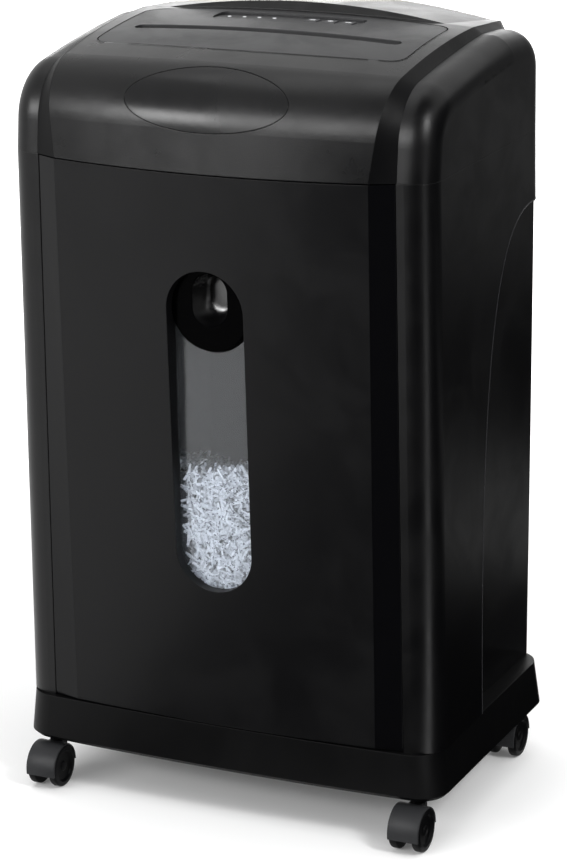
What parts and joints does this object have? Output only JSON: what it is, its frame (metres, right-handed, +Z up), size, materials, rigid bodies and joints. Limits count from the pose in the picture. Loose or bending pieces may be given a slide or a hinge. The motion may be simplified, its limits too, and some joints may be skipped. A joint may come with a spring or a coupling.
{
  "type": "paper shredder",
  "caption": "Free-standing black paper shredder with a pull-out bin, window, cutter head and twin-wheel casters",
  "frame": {"origin": "centre of the footprint, on the floor under the wheels", "axes": "x to the machine's right as its front is faced, y to the back, z up; the bin pulls out along -y"},
  "size_m": [0.367, 0.257, 0.625],
  "materials": {
    "housing_black": "satin black moulded plastic, fine grain",
    "front_black": "satin black moulded plastic, fine grain",
    "base_black": "matte black moulded plastic",
    "panel_black": "matte black plate",
    "console_black": "matte black moulding",
    "badge_gloss": "smooth black plate, bare",
    "cup_gloss": "polished black",
    "tray_plastic": "black moulded plastic",
    "button_plastic": "dark grey buttons",
    "light_lens": "small grey lenses, unlit",
    "switch_plastic": "black switch plastic",
    "gland_rubber": "black rubber",
    "board_laminate": "green circuit laminate",
    "window_pane": "clear smoked pane",
    "paper_shreds": "white office paper shreds",
    "plate_steel": "bare steel",
    "cutter_steel": "ground steel",
    "comb_plastic": "black engineering plastic",
    "gear_steel": "sintered steel",
    "gear_nylon": "natural nylon",
    "bush_bronze": "sintered bronze",
    "motor_case": "motor in a closed case",
    "stem_steel": "zinc plated steel",
    "caster_plastic": "dark grey nylon",
    "wheel_black": "black nylon"
  },
  "bodies": {
    "cabinet": {"head_cover": "housing_black", "left_head_cap": "housing_black", "right_head_cap": "housing_black", "left_side_panel": "housing_black", "right_side_panel": "housing_black", "back_panel": "housing_black", "base_frame": "base_black", "top_panel": "panel_black", "control_console": "console_black", "badge_plate": "badge_gloss", "head_tray": "tray_plastic", "paper_chute": "tray_plastic", "bin_runners": "tray_plastic", "indicator_lights": "light_lens", "switch_frame": "switch_plastic", "interlock_switch": "switch_plastic", "cord_gland": "gland_rubber", "control_board": "board_laminate", "left_cutter_plate": "plate_steel", "right_cutter_plate": "plate_steel", "tie_rods": "plate_steel", "idler_pin": "plate_steel", "front_comb": "comb_plastic", "rear_comb": "comb_plastic", "gear_cover": "comb_plastic", "cutter_bushes": "bush_bronze", "motor_body": "motor_case", "caster_stems": "stem_steel"},
    "bin": {"bin_front": "front_black", "bin_window": "window_pane", "bin_handle_cup": "cup_gloss", "bin_tub": "tray_plastic", "shredded_paper": "paper_shreds"},
    "rear_cutter_set": {"rear_cutter": "cutter_steel", "rear_cutter_gear": "gear_steel", "drive_gear": "gear_nylon"},
    "front_cutter_set": {"front_cutter": "cutter_steel", "front_cutter_gear": "gear_steel"},
    "idler_set": {"idler_gear": "gear_nylon"},
    "motor_rotor": {"motor_shaft": "plate_steel", "motor_pinion": "gear_steel", "motor_fan": "comb_plastic"},
    "reverse_key": {"reverse_button": "button_plastic"},
    "auto_key": {"auto_button": "button_plastic"},
    "forward_key": {"forward_button": "button_plastic"},
    "rocker": {"power_rocker": "switch_plastic"},
    "front_left_caster": {"front_left_caster_hood": "caster_plastic"},
    "front_left_wheels": {"front_left_caster_wheels": "wheel_black"},
    "front_right_caster": {"front_right_caster_hood": "caster_plastic"},
    "front_right_wheels": {"front_right_caster_wheels": "wheel_black"},
    "rear_left_caster": {"rear_left_caster_hood": "caster_plastic"},
    "rear_left_wheels": {"rear_left_caster_wheels": "wheel_black"},
    "rear_right_caster": {"rear_right_caster_hood": "caster_plastic"},
    "rear_right_wheels": {"rear_right_caster_wheels": "wheel_black"}
  },
  "joints": [
    {"name": "bin_slide", "type": "slide", "parent": "cabinet", "child": "bin", "axis": [0, -1, 0], "range_m": [0, 0.235]},
    {"name": "rear_cutter_spin", "type": "hinge", "parent": "cabinet", "child": "rear_cutter_set", "pos_m": [0, 0.0075, 0.562], "axis": [1, 0, 0], "continuous": true},
    {"name": "front_cutter_spin", "type": "hinge", "parent": "cabinet", "child": "front_cutter_set", "pos_m": [0, -0.0255, 0.562], "axis": [1, 0, 0], "continuous": true},
    {"name": "idler_spin", "type": "hinge", "parent": "cabinet", "child": "idler_set", "pos_m": [0.13, 0.04336, 0.56514], "axis": [1, 0, 0], "continuous": true},
    {"name": "motor_spin", "type": "hinge", "parent": "cabinet", "child": "motor_rotor", "pos_m": [0.1, 0.07336, 0.56514], "axis": [1, 0, 0], "continuous": true},
    {"name": "reverse_press", "type": "slide", "parent": "cabinet", "child": "reverse_key", "axis": [0, 0, -1], "range_m": [0, 0.0008], "stiffness_N_per_m": 600, "springref_m": -0.0002},
    {"name": "auto_press", "type": "slide", "parent": "cabinet", "child": "auto_key", "axis": [0, 0, -1], "range_m": [0, 0.0008], "stiffness_N_per_m": 600, "springref_m": -0.0002},
    {"name": "forward_press", "type": "slide", "parent": "cabinet", "child": "forward_key", "axis": [0, 0, -1], "range_m": [0, 0.0008], "stiffness_N_per_m": 600, "springref_m": -0.0002},
    {"name": "rocker_tilt", "type": "hinge", "parent": "cabinet", "child": "rocker", "pos_m": [-0.05, 0.121, 0.496], "axis": [1, 0, 0], "range_deg": [-18, 0]},
    {"name": "front_left_swivel", "type": "hinge", "parent": "cabinet", "child": "front_left_caster", "pos_m": [-0.16, -0.097, 0.034], "axis": [0, 0, 1], "continuous": true},
    {"name": "front_left_roll", "type": "hinge", "parent": "front_left_caster", "child": "front_left_wheels", "pos_m": [-0.16, -0.108, 0.017], "axis": [1, 0, 0], "continuous": true},
    {"name": "front_right_swivel", "type": "hinge", "parent": "cabinet", "child": "front_right_caster", "pos_m": [0.16, -0.097, 0.034], "axis": [0, 0, 1], "continuous": true},
    {"name": "front_right_roll", "type": "hinge", "parent": "front_right_caster", "child": "front_right_wheels", "pos_m": [0.16, -0.108, 0.017], "axis": [1, 0, 0], "continuous": true},
    {"name": "rear_left_swivel", "type": "hinge", "parent": "cabinet", "child": "rear_left_caster", "pos_m": [-0.16, 0.106, 0.034], "axis": [0, 0, 1], "continuous": true},
    {"name": "rear_left_roll", "type": "hinge", "parent": "rear_left_caster", "child": "rear_left_wheels", "pos_m": [-0.16, 0.095, 0.017], "axis": [1, 0, 0], "continuous": true},
    {"name": "rear_right_swivel", "type": "hinge", "parent": "cabinet", "child": "rear_right_caster", "pos_m": [0.16, 0.106, 0.034], "axis": [0, 0, 1], "continuous": true},
    {"name": "rear_right_roll", "type": "hinge", "parent": "rear_right_caster", "child": "rear_right_wheels", "pos_m": [0.16, 0.095, 0.017], "axis": [1, 0, 0], "continuous": true}
  ],
  "couplings": [
    {"joint": "front_cutter_spin", "follows": "rear_cutter_spin", "ratio": -1},
    {"joint": "idler_spin", "follows": "rear_cutter_spin", "ratio": -3},
    {"joint": "motor_spin", "follows": "rear_cutter_spin", "ratio": 9}
  ]
}
